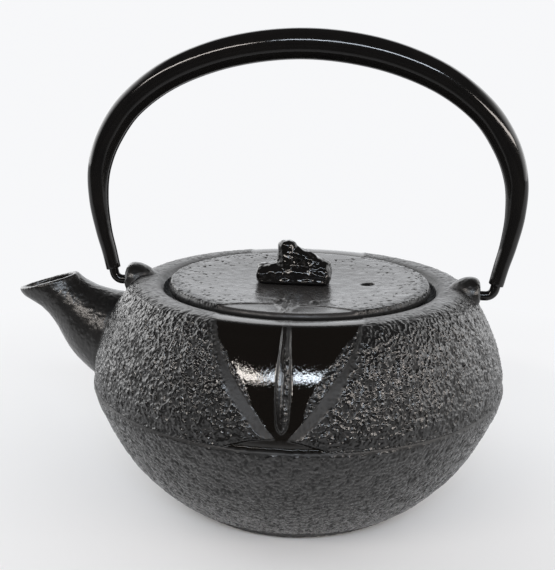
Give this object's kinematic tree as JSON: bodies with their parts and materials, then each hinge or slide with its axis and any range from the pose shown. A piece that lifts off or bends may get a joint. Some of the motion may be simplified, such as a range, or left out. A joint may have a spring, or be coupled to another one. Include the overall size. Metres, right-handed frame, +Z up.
{
  "type": "teapot",
  "caption": "Squat round cast-iron teapot with short spout, lift-off lid with twig knob, strainer basket and an upright swinging bail handle",
  "frame": {"origin": "at the middle of the foot ring, on the plane that the pot stands on", "axes": "+Z up, -X along the spout, -Y towards the front leaf panel; the bail turns about X"},
  "size_m": [0.1886, 0.152, 0.1724],
  "materials": {
    "cast_body": "baked charcoal satin over a pebbled casting, gloss black-brown leaf panels",
    "cast_lid": "baked charcoal satin, finely pitted",
    "gloss_cast": "gloss black enamel over a gnarled casting",
    "steel_fixing": "plain steel",
    "gloss_lacquer": "gloss black lacquer over rolled sheet steel",
    "stainless": "stainless steel, satin rim and woven mesh"
  },
  "bodies": {
    "pot": {"pot_rim": "cast_body", "pot_seat": "cast_body", "pot_shoulder": "cast_body", "pot_bowl": "cast_body", "pot_spout": "cast_body", "pot_lug_left": "cast_body", "pot_lug_right": "cast_body"},
    "infuser": {"infuser_rim": "stainless", "infuser_wall": "stainless", "infuser_hoop": "stainless", "infuser_floor": "stainless"},
    "lid": {"lid": "cast_lid", "lid_skirt": "cast_lid", "lid_knob": "gloss_cast", "knob_rivet": "steel_fixing", "knob_washer": "steel_fixing"},
    "bail": {"bail_tube": "gloss_lacquer", "bail_hook_left": "gloss_lacquer", "bail_hook_right": "gloss_lacquer"}
  },
  "joints": [
    {"name": "bail_pivot", "type": "hinge", "parent": "pot", "child": "bail", "pos_m": [0, 0, 0.0795], "axis": [1, 0, 0], "range_deg": [-95, 95]},
    {"name": "infuser_lift", "type": "slide", "parent": "pot", "child": "infuser", "axis": [0, 0, 1], "range_m": [0, 0.05]},
    {"name": "lid_lift", "type": "slide", "parent": "infuser", "child": "lid", "axis": [0, 0, 1], "range_m": [0, 0.012]}
  ]
}
